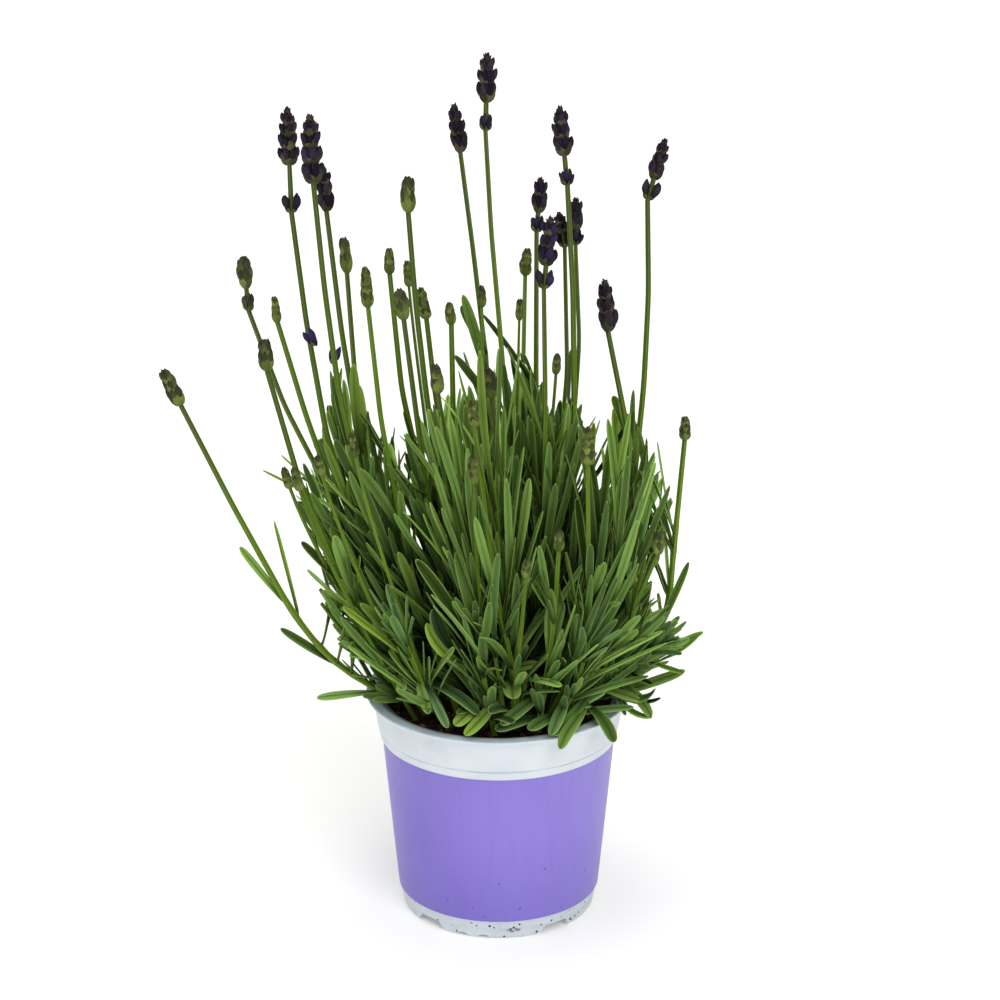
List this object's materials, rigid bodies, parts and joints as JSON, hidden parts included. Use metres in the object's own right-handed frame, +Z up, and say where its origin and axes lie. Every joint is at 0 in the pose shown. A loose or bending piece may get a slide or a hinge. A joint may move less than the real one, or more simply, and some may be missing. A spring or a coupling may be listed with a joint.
{
  "type": "potted lavender",
  "caption": "Flowering lavender in a round nursery pot: strap-leaved stems with dark purple flower heads rise from soil held in a banded plastic pot.",
  "frame": {"origin": "centre of the pot's foot, on the surface that the pot stands on", "axes": "+Z up along the pot's axis; -Y is the plant's front; +X to the right seen from the front"},
  "size_m": [0.2581, 0.1911, 0.43],
  "materials": {
    "pot_print": "satin purple print round a pale moulded plastic pot",
    "potting_soil": "damp crumbly peat and bark",
    "foliage": "grey-green to mid green leaf with fine hairs",
    "ripe_calyx": "dark purple, finely hairy calyces over green-brown bracts"
  },
  "bodies": {
    "root": {"pot": "pot_print", "soil": "potting_soil", "flower_stem_01": "foliage", "flower_stem_02": "foliage", "flower_stem_03": "foliage", "flower_stem_04": "foliage", "flower_stem_05": "foliage", "flower_stem_06": "foliage", "flower_stem_07": "foliage", "flower_stem_08": "foliage", "flower_stem_09": "foliage", "flower_stem_10": "foliage", "flower_stem_11": "foliage", "flower_stem_12": "foliage", "flower_stem_13": "foliage", "flower_stem_14": "foliage", "flower_stem_15": "foliage", "flower_stem_16": "foliage", "flower_stem_17": "foliage", "flower_stem_18": "foliage", "flower_stem_19": "foliage", "flower_stem_20": "foliage", "flower_head_01": "ripe_calyx", "flower_head_02": "ripe_calyx", "flower_head_03": "ripe_calyx", "flower_head_04": "ripe_calyx", "flower_head_05": "ripe_calyx", "flower_head_06": "ripe_calyx", "flower_head_07": "ripe_calyx", "flower_head_08": "ripe_calyx", "flower_head_09": "ripe_calyx", "flower_head_10": "ripe_calyx", "flower_head_11": "ripe_calyx", "flower_head_12": "ripe_calyx", "flower_head_13": "ripe_calyx", "flower_head_14": "ripe_calyx", "flower_head_15": "ripe_calyx", "flower_head_16": "ripe_calyx", "flower_head_17": "ripe_calyx", "flower_head_18": "ripe_calyx", "flower_head_19": "ripe_calyx", "flower_head_20": "ripe_calyx", "budding_shoot_01": "foliage", "budding_shoot_02": "foliage", "budding_shoot_03": "foliage", "budding_shoot_04": "foliage", "budding_shoot_05": "foliage", "budding_shoot_06": "foliage", "budding_shoot_07": "foliage", "budding_shoot_08": "foliage", "budding_shoot_09": "foliage", "budding_shoot_10": "foliage", "budding_shoot_11": "foliage", "budding_shoot_12": "foliage", "leafy_shoot_01": "foliage", "leafy_shoot_02": "foliage", "leafy_shoot_03": "foliage", "leafy_shoot_04": "foliage", "leafy_shoot_05": "foliage", "leafy_shoot_06": "foliage"}
  },
  "joints": []
}
